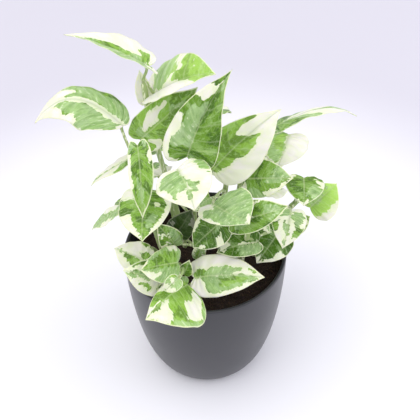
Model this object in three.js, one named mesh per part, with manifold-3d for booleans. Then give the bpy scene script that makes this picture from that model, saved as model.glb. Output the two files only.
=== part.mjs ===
// A young pothos with marbled leaves, standing in a plain round pot.
// Sizes are millimetres. The origin is the centre of the pot's underside, +Z is up
// and -Y is the front, the side with the low leaves that hang over the rim.

import * as THREE from 'three';
import { mergeVertices } from 'three/addons/utils/BufferGeometryUtils.js';
import Module from 'manifold-3d';

const wasm = await Module();
wasm.setup();

// The pot is a plain shell that swells from a small foot to an upright rim.
const rimRadius = 67.5;
const footRadius = 43.5;
const potHeight = 127;
const potRoundness = 1.83;
const potWall = 3;
const potFloor = 4;
const rimRounding = 0.8;
const footBevel = 1.2;
const potSides = 48;
const potSteps = 9;

// The soil fills the pot to a finger's width below the rim.
const clearance = 0.3;
const soilLevel = 111;
const soilCrown = 2.5;
const soilHeap = 1.1;
const soilCrumb = 0.7;
const soilEdge = 0.6;
const soilRings = 9;

// The plant has thick round stems, thin petioles and stiff blades.
const stemRadius = 2.2;
const stemSides = 6;
const stemSteps = 8;
const holeRadius = 2.9;
const holeSides = 8;
const holeDepth = 0.35;
const petioleRadius = 1.1;
const petioleSides = 5;
const petioleSteps = 6;
const petioleUnderBlade = 2;
const petioleBelowBlade = 0.9;
const petioleBend = 0.35;
const petioleSpread = 0.6;
const petioleRise = 0.9;
const bladeThickness = 0.8;

// One half of a blade's edge, from the petiole round the lobe to the tip.
// The first number is a share of the half width, the second a share of the length.
const bladeEdge = [
  [0, 0], [0.27, -0.055], [0.62, -0.055], [0.92, 0.08], [1, 0.29],
  [0.9, 0.51], [0.61, 0.73], [0.2, 0.905], [0, 1],
];
// Where the side vein that ends at each of those points leaves the midrib.
const veinStarts = [0, 0.01, 0.025, 0.06, 0.14, 0.33, 0.62, 0.86, 1];
const veinSweep = 1.4;
const acrossBlade = [-1, -0.5, 0, 0.5, 1];

// Both edges of a blade wave. Each leaf's waves start at another place.
const waveCount = 2.2;
const waveStep = 2.4;
const leftWaveLead = 2;

const finishes = {
  pot: { color: 0x54565e, roughness: 0.42, metalness: 0 },
  soil: { color: 0x2b211b, roughness: 0.95, metalness: 0 },
  plant: { color: 0x7fae5e, roughness: 0.45, metalness: 0 },
};

// What a leaf has where its line below doesn't say otherwise.
const plainLeaf = {
  arch: 0.08, hook: 0.35, fold: 12, curl: 0.2, taper: 0, uneven: 0, slant: 0, sickle: 0,
  blunt: 0, twist: 0, wave: 0.1,
};

// Each stem has a path and its leaves. A leaf leaves the stem at a share of its path.
// base is where the petiole meets the blade and tip is the blade's point. face is the way
// that the upper side looks. arch lifts the midrib and hook moves the top of that arch to
// the tip, as shares of the length. fold lifts both halves, in degrees, and curl lets their
// edges droop. taper narrows the tip end. uneven widens the right half, slant moves it back
// and sickle bends the midrib to the right. blunt draws the lobes at the petiole forward and
// twist turns the tip about the midrib, in degrees. wave is the height of the edge's waves as
// a share of the half width.
const stems = {
  back_left_tall: {
    path: [[-16, 14, 100], [-22, 18, 150], [-33, 24, 205], [-40, 30, 250], [-42, 36, 272]],
    leaves: [
      { at: 1, base: [-37, 36, 284], tip: [-94, 32, 315], face: [3, 1, 10], width: 44,
        arch: 0.05, fold: 26, taper: 0.65 },
      { at: 0.98, base: [-36, 34, 260], tip: [11, 22, 286], face: [-1, 0, 10], width: 54,
        fold: 24, taper: -0.3, uneven: -0.1, slant: -0.06, wave: 0 },
      { at: 0.68, base: [-47, 20, 229], tip: [-2, 28, 271], face: [2, -9, 8], width: 32,
        arch: 0.06, fold: 12 },
      { at: 0.9, base: [-42, 46, 244], tip: [-46, 52, 270], face: [0, -10, 4], width: 14, arch: 0.06 },
    ],
  },
  left_tall: {
    path: [[-30, -4, 100], [-38, -4, 145], [-45, -4, 190], [-50, -2, 225]],
    leaves: [
      { at: 0.97, base: [-57, 8, 252], tip: [-120, 6, 258], face: [0, -2, 10], width: 47,
        arch: 0.32, hook: 0.3, fold: -2, curl: 0.26, sickle: 0.1, slant: 0.13,
        taper: 0.3, blunt: 0.2 },
      { at: 1, base: [-46, -10, 249], tip: [-44, -42, 207], face: [-2, -10, 8], width: 20,
        fold: 20, uneven: -0.1, sickle: -0.03 },
      { at: 0.85, base: [-53, 5, 224], tip: [-86, 0, 201], face: [2, 1, 10], width: 15,
        arch: 0.05, fold: 10 },
      { at: 0.75, base: [-42, -17, 208], tip: [-45, -50, 191], face: [-2, -10, 10], width: 40,
        arch: 0.05, fold: 8, sickle: 0.03 },
      { at: 0.55, base: [-68, 0, 173], tip: [-91, 0, 152], face: [-4, 1, 10], width: 20, arch: 0.05 },
    ],
  },
  centre_tall: {
    path: [[-6, 0, 100], [-8, 0, 150], [-7, -2, 200], [-7, 4, 228]],
    leaves: [
      { at: 1, base: [-11, -10, 237], tip: [22, 8, 300], face: [0, -10, 7], width: 50,
        arch: 0.03, fold: 24, sickle: -0.04, taper: 0.5, uneven: 0.04, twist: 35 },
      { at: 0.7, base: [-18, -26, 240], tip: [-6, -54, 226], face: [0, -6, 10], width: 42, fold: 6,
        sickle: -0.04 },
      { at: 0.4, base: [-36, 6, 186], tip: [-31, 1, 164], face: [0, -10, 6], width: 18 },
    ],
  },
  centre_right: {
    path: [[12, 8, 100], [14, 10, 150], [18, 12, 190], [20, 13, 202]],
    leaves: [
      { at: 1, base: [7, 2, 212], tip: [59, 22, 254], face: [1, -10, 10], width: 48,
        arch: 0.05, fold: 12, taper: 0.28, uneven: 0.08, slant: -0.08, sickle: -0.03 },
      { at: 0.55, base: [7, -31, 209], tip: [33, -50, 207], face: [1, -5, 10], width: 38,
        arch: 0.05, fold: 14, uneven: -0.2, slant: 0.2, sickle: 0.03 },
      { at: 0.45, base: [5, -11, 196], tip: [-8, -16, 187], face: [0, -6, 10], width: 15 },
    ],
  },
  right_tall: {
    path: [[24, 20, 100], [34, 26, 150], [46, 32, 195], [52, 34, 216]],
    leaves: [
      { at: 0.6, base: [32, 2, 203], tip: [68, -6, 210], face: [0, -8, 10], width: 30,
        arch: 0.05, fold: 6 },
      { at: 1, base: [54, 34, 226], tip: [121, 45, 227], face: [0, 5, 10], width: 30,
        arch: 0.14, fold: 4 },
      { at: 0.85, base: [66, 26, 226], tip: [57, 10, 206], face: [0, -10, 5], width: 36, arch: 0.05,
        slant: -0.12 },
    ],
  },
  right_low: {
    path: [[36, 4, 100], [50, 6, 135], [66, 8, 160], [76, 10, 172]],
    leaves: [
      { at: 0.8, base: [78, 8, 197], tip: [76, -14, 188], face: [1, -5, 10], width: 32,
        arch: 0.1, fold: 14 },
      { at: 1, base: [85, 8, 164], tip: [107, 20, 179], face: [3, -5, 10], width: 30,
        arch: 0.1, uneven: 0.2 },
      { at: 0.6, base: [67, -12, 182], tip: [60, -32, 160], face: [1, -10, 6], width: 30,
        arch: 0.05, taper: 0.2 },
      { at: 0.4, base: [70, 2, 147], tip: [86, 8, 154], face: [1, -6, 10], width: 18, arch: 0.1 },
    ],
  },
  front_right: {
    path: [[26, -16, 100], [30, -20, 140], [34, -22, 170], [36, -20, 182]],
    leaves: [
      { at: 0.98, base: [21, -35, 194], tip: [62, -35, 210], face: [0, -6, 10], width: 25,
        uneven: -0.1, sickle: 0.04 },
      { at: 0.55, base: [42, -24, 160], tip: [9, -28, 152], face: [1, -3, 10], width: 24, fold: 18 },
      { at: 0.45, base: [61, 0, 146], tip: [41, -25, 135], face: [1, -7, 10], width: 34 },
      { at: 0.9, base: [44, -26, 186], tip: [50, -32, 178], face: [0, -10, 6], width: 6, fold: 20 },
    ],
  },
  front_left: {
    path: [[-20, -26, 100], [-22, -26, 125], [-20, -28, 138]],
    leaves: [
      { at: 0.6, base: [-34, -40, 134], tip: [-64, -40, 148], face: [0, -7, 10], width: 29, arch: 0.1 },
      { at: 1, base: [-21, -37, 152], tip: [-50, -44, 152], face: [0, -4, 10], width: 30,
        arch: 0.05, slant: 0.12 },
      { at: 0.8, base: [-20, -58, 158], tip: [-31, -61, 147], face: [0, -10, 10], width: 14,
        arch: 0.1, fold: 24 },
      { at: 0.9, base: [-17, -39, 140], tip: [-12, -36, 154], face: [0, -10, 6], width: 12 },
    ],
  },
  front: {
    path: [[2, -30, 100], [0, -30, 115], [-4, -32, 126]],
    leaves: [
      { at: 0.9, base: [-14, -46, 136], tip: [-45, -84, 142], face: [0, -4, 10], width: 44,
        arch: 0.06, fold: 4, curl: 0.04, uneven: -0.55, slant: 0.09, sickle: 0.04, wave: 0.03 },
      { at: 1, base: [-9, -41, 138], tip: [46, -48, 145], face: [0, -6, 10], width: 34,
        arch: 0.05, fold: 8, sickle: -0.03 },
    ],
  },
  middle_low: {
    path: [[-2, -14, 100], [-2, -12, 130], [4, -10, 165]],
    leaves: [
      { at: 1, base: [14, -20, 180], tip: [-9, -30, 161], face: [0, -6, 10], width: 30 },
      { at: 0.7, base: [14, -12, 151], tip: [33, -6, 160], face: [0, -6, 10], width: 18 },
      { at: 0.6, base: [-23, -17, 149], tip: [-37, -20, 180], face: [4, -10, 6], width: 20, arch: 0.1 },
      { at: 0.5, base: [-23, -9, 154], tip: [-9, -5, 179], face: [0, -10, 6], width: 22 },
      { at: 0.2, base: [-6, -20, 137], tip: [0, -18, 157], face: [-3, -10, 6], width: 12, fold: 20 },
    ],
  },
  left_low: {
    path: [[-34, 10, 100], [-44, 6, 120], [-46, -4, 128]],
    leaves: [
      { at: 1, base: [-46, -20, 134], tip: [-74, -8, 138], face: [0, -4, 10], width: 28,
        arch: 0.05, fold: 6 },
    ],
  },
  back: {
    path: [[0, 32, 100], [2, 40, 150], [4, 46, 200], [2, 48, 216]],
    leaves: [
      { at: 1, base: [0, 52, 224], tip: [5, 97, 192], face: [0, 8, 10], width: 46 },
      { at: 0.9, base: [22, 50, 198], tip: [55, 78, 172], face: [5, 6, 10], width: 42 },
      { at: 0.8, base: [-19, 52, 196], tip: [-50, 80, 168], face: [-5, 6, 10], width: 42 },
    ],
  },
  back_left: {
    path: [[-22, 30, 100], [-28, 38, 140], [-32, 44, 166]],
    leaves: [
      { at: 1, base: [-38, 54, 160], tip: [-60, 86, 134], face: [-4, 6, 10], width: 36 },
      { at: 0.8, base: [-16, 54, 146], tip: [-18, 98, 126], face: [-1, 6, 10], width: 38 },
      { at: 0.7, base: [-46, 32, 148], tip: [-78, 50, 132], face: [-6, 4, 10], width: 36 },
    ],
  },
  back_right: {
    path: [[20, 34, 100], [28, 42, 140], [32, 48, 166]],
    leaves: [
      { at: 1, base: [36, 52, 170], tip: [68, 82, 146], face: [5, 6, 10], width: 40 },
      { at: 0.85, base: [20, 56, 156], tip: [24, 98, 134], face: [1, 6, 10], width: 38 },
      { at: 0.7, base: [46, 44, 148], tip: [72, 66, 128], face: [5, 5, 10], width: 30 },
    ],
  },
};

const toVector = ([x, y, z]) => new THREE.Vector3(x, y, z);

// A closed geometry as a solid that can be joined and cut, with its faces out.
function solidOf(geometry) {
  const bare = geometry.clone();
  bare.deleteAttribute('normal');
  bare.deleteAttribute('uv');
  const merged = mergeVertices(bare);
  const corners = merged.index.array;
  const kept = [];
  for (let i = 0; i < corners.length; i += 3) {
    const [a, b, c] = [corners[i], corners[i + 1], corners[i + 2]];
    if (a !== b && b !== c && c !== a) {
      kept.push(a, b, c);
    }
  }
  const vertProperties = new Float32Array(merged.attributes.position.array);
  const build = (triVerts) => new wasm.Manifold(
    new wasm.Mesh({ numProp: 3, vertProperties, triVerts: new Uint32Array(triVerts) }),
  );
  const solid = build(kept);
  return solid.volume() > 0 ? solid : build(kept.reverse());
}

function meshOf(name, solid, finish) {
  const { vertProperties, triVerts } = solid.getMesh();
  const geometry = new THREE.BufferGeometry();
  geometry.setAttribute('position', new THREE.BufferAttribute(vertProperties, 3));
  geometry.setIndex(new THREE.BufferAttribute(triVerts, 1));
  geometry.computeVertexNormals();
  const mesh = new THREE.Mesh(geometry, new THREE.MeshStandardMaterial(finish));
  mesh.name = name;
  return mesh;
}

// A round bar along a path.
function bar(path, radius, sides, steps) {
  const corners = Array.from({ length: sides }, (_, i) => {
    const angle = (2 * Math.PI * i) / sides;
    return new THREE.Vector2(radius * Math.cos(angle), radius * Math.sin(angle));
  });
  const options = { steps, bevelEnabled: false, extrudePath: path };
  return solidOf(new THREE.ExtrudeGeometry(new THREE.Shape(corners), options));
}

// A profile of [radius, height] points spun round the upright axis.
function spun(profile) {
  const points = profile.map(([radius, height]) => new THREE.Vector2(radius, height));
  return new THREE.LatheGeometry(points, potSides).rotateX(Math.PI / 2);
}

// The pot's side from foot to rim, a quarter of a rounded square.
function potSide(foot, rim, bottom, top) {
  return Array.from({ length: potSteps + 1 }, (_, i) => {
    const angle = (Math.PI / 2) * (i / potSteps);
    const out = Math.sin(angle) ** (2 / potRoundness);
    const up = 1 - Math.max(Math.cos(angle), 0) ** (2 / potRoundness);
    return [foot + (rim - foot) * out, bottom + (top - bottom) * up];
  });
}

function pot() {
  const outside = potSide(footRadius, rimRadius, footBevel, potHeight - rimRounding);
  const inside = potSide(footRadius - potWall, rimRadius - potWall, potFloor, potHeight - rimRounding);
  return solidOf(spun([
    [0, 0],
    [footRadius - footBevel, 0],
    ...outside,
    [rimRadius - rimRounding, potHeight],
    [rimRadius - potWall + rimRounding, potHeight],
    ...inside.reverse(),
    [0, potFloor],
  ]));
}

// The height of the soil's surface, a low crown with small heaps.
function soilHeight(x, y, radius) {
  const crown = soilCrown * (1 - (x * x + y * y) / (radius * radius));
  const heaps = soilHeap * Math.sin(0.21 * x + 1.3) * Math.cos(0.17 * y);
  const crumbs = soilCrumb * Math.sin(0.53 * x + 0.2) * Math.sin(0.47 * y + 2);
  return soilLevel + crown + heaps + crumbs;
}

function soil(stemPaths) {
  const gapWall = potWall + clearance;
  const wall = potSide(footRadius - gapWall, rimRadius - gapWall, potFloor + clearance, potHeight)
    .filter(([, height]) => height < soilLevel - 1);
  const radius = rimRadius - gapWall - soilEdge;
  const surface = Array.from({ length: soilRings + 1 }, (_, i) => [
    radius * (1 - i / soilRings), soilLevel,
  ]);
  const geometry = spun([[0, potFloor + clearance], ...wall, ...surface]);
  const place = geometry.attributes.position;
  for (let i = 0; i < place.count; i += 1) {
    if (place.getZ(i) > soilLevel - soilEdge) {
      place.setZ(i, soilHeight(place.getX(i), place.getY(i), radius));
    }
  }
  const holes = stemPaths.map(({ points: [foot, next, ...rest] }) => {
    const deeper = foot.clone().sub(next).setLength(holeDepth).add(foot);
    const path = new THREE.CatmullRomCurve3([deeper, next, ...rest], false, 'catmullrom');
    return bar(path, holeRadius, holeSides, stemSteps);
  });
  return holes.reduce((rest, hole) => rest.subtract(hole), solidOf(geometry));
}

// A leaf's line from the list, with its own directions: along, out of its face and right.
function readLeaf(line, number) {
  const base = toVector(line.base);
  const along = toVector(line.tip).sub(base);
  const length = along.length();
  along.normalize();
  const face = toVector(line.face);
  face.addScaledVector(along, -face.dot(along)).normalize();
  const right = new THREE.Vector3().crossVectors(along, face);
  return { ...plainLeaf, ...line, base, along, face, right, length, phase: waveStep * number };
}

// The midrib's point at a share of the length, with the directions ahead, up and right there.
function midribAt(leaf, share) {
  const lean = 1 + leaf.hook * (2 * share - 1);
  const hump = share * (1 - share);
  const slope = 4 * leaf.arch * ((1 - 2 * share) * lean + 2 * leaf.hook * hump);
  const turn = 4 * leaf.sickle * (1 - 2 * share);
  const point = leaf.base.clone()
    .addScaledVector(leaf.along, leaf.length * share)
    .addScaledVector(leaf.face, leaf.length * 4 * leaf.arch * hump * lean)
    .addScaledVector(leaf.right, leaf.length * 4 * leaf.sickle * hump);
  const ahead = leaf.along.clone()
    .addScaledVector(leaf.face, slope)
    .addScaledVector(leaf.right, turn)
    .normalize();
  const up = leaf.face.clone().addScaledVector(ahead, -leaf.face.dot(ahead)).normalize();
  up.applyAxisAngle(ahead, -THREE.MathUtils.degToRad(leaf.twist) * share);
  const right = new THREE.Vector3().crossVectors(ahead, up);
  return { point, ahead, up, right };
}

// A point of the blade's middle surface. row counts the side veins from the petiole, and
// across runs from -1 at the left edge to 1 at the right edge.
function bladePoint(leaf, row, across) {
  const [edgeOut, plainAlong] = bladeEdge[row];
  const edgeAlong = plainAlong + leaf.blunt * edgeOut * (1 - plainAlong) ** 2;
  const start = veinStarts[row];
  const side = Math.sign(across);
  const reach = Math.abs(across);
  const halfWidth = leaf.width / 2;
  const spread = edgeOut * (1 - leaf.taper * Math.max(edgeAlong, 0)) * (1 + leaf.uneven * side);
  const swept = start + (edgeAlong - start) * reach ** veinSweep;
  const { point, up, right } = midribAt(leaf, swept - leaf.slant * across * spread);
  const distance = reach * spread * halfWidth;
  const fold = THREE.MathUtils.degToRad(leaf.fold);
  const turns = (waveCount * row) / (bladeEdge.length - 1);
  const angle = 2 * Math.PI * turns + leaf.phase + (side > 0 ? 0 : leftWaveLead);
  const wave = leaf.wave * halfWidth * (reach * spread) ** 2 * Math.sin(angle);
  const rise = distance * Math.sin(fold) - (leaf.curl * distance ** 2) / halfWidth + wave;
  return point
    .addScaledVector(right, side * distance * Math.cos(fold))
    .addScaledVector(up, rise);
}

// A blade: its middle surface, thickened to both sides with the same triangles.
function blade(leaf) {
  const points = [];
  const rows = bladeEdge.map((edge, row) => {
    const isEnd = row === 0 || row === bladeEdge.length - 1;
    return (isEnd ? [0] : acrossBlade).map(
      (across) => points.push(bladePoint(leaf, row, across)) - 1,
    );
  });
  const faces = [];
  for (let row = 1; row < rows.length; row += 1) {
    const near = rows[row - 1];
    const far = rows[row];
    for (let i = 0; i + 1 < Math.max(near.length, far.length); i += 1) {
      if (near.length > 1) {
        faces.push([near[i], near[i + 1], far[far.length > 1 ? i + 1 : 0]]);
      }
      if (far.length > 1) {
        faces.push([near[near.length > 1 ? i : 0], far[i + 1], far[i]]);
      }
    }
  }
  const middle = new THREE.BufferGeometry().setFromPoints(points);
  middle.setIndex(faces.flat());
  middle.computeVertexNormals();
  const normals = points.map((_, i) => new THREE.Vector3().fromBufferAttribute(middle.attributes.normal, i));
  const shifted = (amount) => points.map((p, i) => p.clone().addScaledVector(normals[i], amount));
  const below = points.length;
  const inner = rows.slice(1, -1);
  const rim = [
    rows[0][0],
    ...inner.map((row) => row.at(-1)),
    rows.at(-1)[0],
    ...inner.map((row) => row[0]).reverse(),
  ];
  const skin = faces.flatMap(([a, b, c]) => [a, b, c, a + below, c + below, b + below]);
  const band = rim.flatMap((a, i) => {
    const b = rim[(i + 1) % rim.length];
    return [a, a + below, b + below, a, b + below, b];
  });
  const geometry = new THREE.BufferGeometry();
  geometry.setFromPoints([...shifted(bladeThickness / 2), ...shifted(-bladeThickness / 2)]);
  geometry.setIndex([...skin, ...band]);
  return solidOf(geometry);
}

// A petiole leaves the stem upward and ends under the blade's midrib.
function petiole(leaf, stemPath) {
  const start = stemPath.getPoint(leaf.at);
  const { point, ahead, up } = midribAt(leaf, 0);
  const end = point
    .addScaledVector(ahead, petioleUnderBlade)
    .addScaledVector(up, -petioleBelowBlade);
  const handle = start.distanceTo(leaf.base) * petioleBend;
  const leaving = leaf.base.clone().sub(start).setLength(petioleSpread)
    .add(stemPath.getTangent(leaf.at))
    .setLength(handle);
  const arriving = ahead.clone().addScaledVector(up, petioleRise).setLength(handle);
  const path = new THREE.CubicBezierCurve3(
    start, start.clone().add(leaving), end.clone().sub(arriving), end,
  );
  return bar(path, petioleRadius, petioleSides, petioleSteps);
}

const stemPaths = Object.values(stems).map(
  ({ path }) => new THREE.CatmullRomCurve3(path.map(toVector), false, 'catmullrom'),
);

const plant = new THREE.Group();
plant.add(meshOf('pot', pot(), finishes.pot));
plant.add(meshOf('soil', soil(stemPaths), finishes.soil));
let leafCount = 0;
Object.entries(stems).forEach(([place, { leaves }], i) => {
  const pieces = [bar(stemPaths[i], stemRadius, stemSides, stemSteps)];
  for (const line of leaves) {
    const leaf = readLeaf(line, leafCount);
    leafCount += 1;
    pieces.push(petiole(leaf, stemPaths[i]), blade(leaf));
  }
  const grown = wasm.Manifold.union(pieces);
  plant.add(meshOf(`leafy_stem_${place}`, grown, finishes.plant));
});

export default plant;
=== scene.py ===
# %% [markdown]
# # A marbled pothos in a charcoal pot
# This lesson dresses a potted pothos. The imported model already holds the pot, the soil and one
# solid for each leafy stem, all at their real size. Blender gives them a surface that stands
# up to a close look: smooth blades with veins, marbling that follows the veins, stalks that
# swell where they join, loose potting mix and a moulded pot with a soft shine.
# Lengths in this file are millimetres, as a grower would measure them. They become
# metres only where a mesh is made.

# %% Load the frame
import math
from types import SimpleNamespace

import bpy
import numpy as np
from mathutils import Matrix, Vector


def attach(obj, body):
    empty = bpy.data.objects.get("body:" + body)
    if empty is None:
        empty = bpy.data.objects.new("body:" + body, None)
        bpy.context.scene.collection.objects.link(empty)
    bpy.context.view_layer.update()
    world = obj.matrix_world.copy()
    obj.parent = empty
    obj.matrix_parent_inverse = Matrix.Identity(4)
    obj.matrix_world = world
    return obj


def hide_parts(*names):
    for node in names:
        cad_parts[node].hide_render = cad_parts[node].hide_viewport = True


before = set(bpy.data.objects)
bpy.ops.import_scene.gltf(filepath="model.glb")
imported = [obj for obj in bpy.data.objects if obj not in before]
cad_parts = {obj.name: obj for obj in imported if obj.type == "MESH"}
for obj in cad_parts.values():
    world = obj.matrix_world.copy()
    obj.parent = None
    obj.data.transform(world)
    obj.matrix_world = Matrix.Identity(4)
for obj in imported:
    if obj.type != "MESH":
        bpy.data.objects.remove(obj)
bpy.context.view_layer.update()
MM = 0.001
scene = bpy.context.scene
print("nodes in the frame:", len(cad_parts))

# %% [markdown]
# ## Colours and shader nodes
# Colours are written as the hex values that a picture editor shows. Cycles works with
# linear light, so one function converts them. A shader is a graph of nodes, and one
# more function adds a node with its settings and its links, so that a material below reads
# as a list of steps from coordinates to colour, roughness and relief. Colours are laid in coats,
# as a painter would: each coat has a mask that says where it covers what is below.

# %% Helpers for colours and nodes
def linear(hex_colour):
    """sRGB hex to linear RGBA."""
    channels = [int(hex_colour[i:i + 2], 16) / 255 for i in (1, 3, 5)]
    light = [c / 12.92 if c <= 0.04045 else ((c + 0.055) / 1.055) ** 2.4 for c in channels]
    return (*light, 1.0)


def connect(tree, node, **inputs):
    """Fills a node's inputs, by name or, after an underscore, by place. Each takes a plain
    value, a hex colour, a socket, or a node, which then gives its first output in use."""
    for name, value in inputs.items():
        socket = next(s for i, s in enumerate(node.inputs)
                      if s.enabled and name in (f"_{i}", s.name.replace(" ", "_")))
        if isinstance(value, str):
            value = linear(value)
        if isinstance(value, bpy.types.Node):
            value = next(s for s in value.outputs if s.enabled)
        if isinstance(value, bpy.types.NodeSocket):
            tree.links.new(value, socket)
        else:
            socket.default_value = value


def add_node(tree, kind, **values):
    """Adds a node. Names in small letters are its settings, and all others its inputs."""
    node = tree.nodes.new(kind)
    for name in filter(str.islower, values):
        setattr(node, name, values[name])
    connect(tree, node, **{name: value for name, value in values.items() if not name.islower()})
    return node


def painted(tree, ground, *coats):
    """Lays coats on a ground colour. A coat is a mask from 0 to 1 and the colour that it lays."""
    for cover, colour in coats:
        ground = add_node(tree, "ShaderNodeMix", data_type="RGBA", Factor=cover, A=ground, B=colour)
    return ground


def new_material(name, **fixed):
    """A Principled material, its tree, its shader and its Object coordinates. The fixed values
    are set on the shader's own sockets."""
    material = bpy.data.materials.new(name)
    material.use_nodes = True
    tree = material.node_tree
    shader = tree.nodes["Principled BSDF"]
    connect(tree, shader, **fixed)
    return material, tree, shader, add_node(tree, "ShaderNodeTexCoord").outputs["Object"]


def new_object(name, data):
    thing = bpy.data.objects.new(name, data)
    scene.collection.objects.link(thing)
    return thing


print("middle grey as linear light:", round(linear("#808080")[0], 3))

# %% [markdown]
# ## Camera, floor and light
# The camera stands in front and looks 45 degrees down, with a long lens that keeps the pot's
# sides nearly straight. It is made first, so that every later step can be judged in its view.
# The floor is a pale disc, painted greyer and more lavender away from the pot: a painted
# falloff of light, which also stands in for a greyer wall far off. Two large soft lamps and a
# bright sky make the high-key light of a white room: highlights stay broad, and shadows stay thin
# and pale.

# %% Camera
CAMERA_PLACE = Vector((4.7, -444.8, 621.3)) * MM
LOOK_DOWN = math.radians(45.3)
CAMERA_ROLL = math.radians(-1.22)
LENS = 68.57

ahead = Vector((0, math.cos(LOOK_DOWN), -math.sin(LOOK_DOWN)))
level_right = Vector((1, 0, 0))
level_up = level_right.cross(ahead)
camera_right = level_right * math.cos(CAMERA_ROLL) + level_up * math.sin(CAMERA_ROLL)
camera_up = level_up * math.cos(CAMERA_ROLL) - level_right * math.sin(CAMERA_ROLL)
camera = new_object("camera", bpy.data.cameras.new("camera"))
camera.data.lens = LENS
turn = Matrix((camera_right, camera_up, -ahead)).transposed()
camera.matrix_world = Matrix.Translation(CAMERA_PLACE) @ turn.to_4x4()
scene.camera = camera
print("camera height in mm:", round(CAMERA_PLACE.z / MM))

# %% Floor
FLOOR_RADIUS = 2400
FLOOR_SIDES = 96
PALE_RADIUS = 230

floor_material, tree, shader, place = new_material("matt_white_board", Roughness=0.6)
distance = add_node(tree, "ShaderNodeVectorMath", operation="LENGTH", _0=place)
# Painted falloff of light: the board turns greyer from PALE_RADIUS to twice that distance.
painted_falloff = add_node(tree, "ShaderNodeMapRange", interpolation_type="SMOOTHSTEP", Value=distance,
                   From_Min=PALE_RADIUS * MM, From_Max=2 * PALE_RADIUS * MM)
connect(tree, shader, Base_Color=painted(tree, "#eff0f5", (painted_falloff, "#cfced8")))
floor_mesh = bpy.data.meshes.new("floor")
corner_angles = [2 * math.pi * i / FLOOR_SIDES for i in range(FLOOR_SIDES)]
floor_mesh.from_pydata(
    [(FLOOR_RADIUS * MM * math.cos(a), FLOOR_RADIUS * MM * math.sin(a), 0) for a in corner_angles],
    [], [list(range(FLOOR_SIDES))])
floor_mesh.materials.append(floor_material)
floor = new_object("floor", floor_mesh)
print("floor radius in mm:", FLOOR_RADIUS)

# %% Light
AIM_HEIGHT = 150


def soft_lamp(name, place, size, power, colour):
    data = bpy.data.lights.new(name, "AREA")
    data.shape = "DISK"
    data.size = size * MM
    data.energy = power
    data.color = linear(colour)[:3]
    lamp = new_object(name, data)
    lamp.location = Vector(place) * MM
    aim = Vector((0, 0, AIM_HEIGHT)) * MM - lamp.location
    lamp.rotation_euler = aim.to_track_quat("-Z", "Y").to_euler()


soft_lamp("window_left", place=(-950, -500, 2300), size=2300, power=19, colour="#fffdf8")
soft_lamp("window_right", place=(1700, -200, 1000), size=1600, power=9, colour="#f6f6ff")
scene.world = bpy.data.worlds.new("white_room")
scene.world.use_nodes = True
sky = scene.world.node_tree.nodes["Background"]
connect(scene.world.node_tree, sky, Color="#f1eff4", Strength=1.17)
scene.view_settings.view_transform = "Standard"

# %% [markdown]
# ## The pot
# The pot is injection-moulded polypropylene in charcoal. Its side is a quarter of a rounded
# square, spun round the axis. A Screw modifier or a lathe of points both do that. The points
# are worked out here, because the same formula then gives the inner wall, and the arcs
# of the rim and the foot can be as fine as the eye needs.

# %% Pot dimensions
RIM_RADIUS = 67.5
FOOT_RADIUS = 43.5
POT_HEIGHT = 127
POT_ROUNDNESS = 1.83
POT_WALL = 3
POT_FLOOR = 4
RIM_ROUNDING = 1.2
FOOT_BEVEL = 1.2
POT_SIDES = 144
SIDE_STEPS = 48
ARC_STEPS = 6


def pot_side(foot, rim, bottom, top):
    """The (radius, height) points of the pot's side, from foot to rim."""
    angle = np.linspace(0, math.pi / 2, SIDE_STEPS + 1)
    out = np.sin(angle) ** (2 / POT_ROUNDNESS)
    up = 1 - np.clip(np.cos(angle), 0, 1) ** (2 / POT_ROUNDNESS)
    return list(zip(foot + (rim - foot) * out, bottom + (top - bottom) * up))


def arc(centre, radius, start, end):
    """Points on a round corner, with its angles in degrees."""
    angles = np.radians(np.linspace(start, end, ARC_STEPS + 1))
    return [(centre[0] + radius * math.cos(a), centre[1] + radius * math.sin(a)) for a in angles]


def spun_mesh(name, profile):
    """Spins (radius, height) points round Z. The first and the last lie on the axis."""
    rings = profile[1:-1]
    around = np.linspace(0, 2 * math.pi, POT_SIDES, endpoint=False)
    points = [(r * math.cos(a) * MM, r * math.sin(a) * MM, z * MM) for r, z in rings for a in around]
    bottom = len(points)
    points += [(0, 0, profile[0][1] * MM), (0, 0, profile[-1][1] * MM)]
    steps = [(j, (j + 1) % POT_SIDES) for j in range(POT_SIDES)]
    faces = []
    for low in range(0, bottom - POT_SIDES, POT_SIDES):
        high = low + POT_SIDES
        faces += [(low + j, low + k, high + k, high + j) for j, k in steps]
    last = bottom - POT_SIDES
    for j, k in steps:
        faces += [(bottom, k, j), (bottom + 1, last + j, last + k)]
    mesh = bpy.data.meshes.new(name)
    mesh.from_pydata(points, [], faces)
    mesh.polygons.foreach_set("use_smooth", [True] * len(faces))
    return mesh


print("pot height in mm:", POT_HEIGHT)

# %% Pot mesh
side_top = POT_HEIGHT - RIM_ROUNDING
outside = pot_side(FOOT_RADIUS, RIM_RADIUS, FOOT_BEVEL, side_top)
inside = pot_side(FOOT_RADIUS - POT_WALL, RIM_RADIUS - POT_WALL, POT_FLOOR, side_top)
foot_arc = arc((FOOT_RADIUS - FOOT_BEVEL, FOOT_BEVEL), FOOT_BEVEL, -90, 0)
outer_rim = arc((RIM_RADIUS - RIM_ROUNDING, side_top), RIM_ROUNDING, 0, 90)
inner_rim = arc((RIM_RADIUS - POT_WALL + RIM_ROUNDING, side_top), RIM_ROUNDING, 90, 180)
profile = [(0, 0), *foot_arc, *outside[1:-1], *outer_rim, *inner_rim, *inside[-2::-1], (0, POT_FLOOR)]
pot = new_object("charcoal_pot", spun_mesh("charcoal_pot", profile))
print("pot points:", len(pot.data.vertices))

# %% [markdown]
# Moulded polypropylene is neither matt nor glossy. The mould's fine spark-eroded texture
# breaks the shine into a soft glow, so the roughness is about 0.33, with an index of
# refraction of 1.55. Handling rubs it a little smoother in patches, which only shows as slow
# changes of roughness. The mould texture is about 0.4 mm, drawn at 0.8 mm so that it shows.

# %% Pot material
MOULD_GRAIN = 0.8
RUBBED_PATCH = 45

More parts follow.
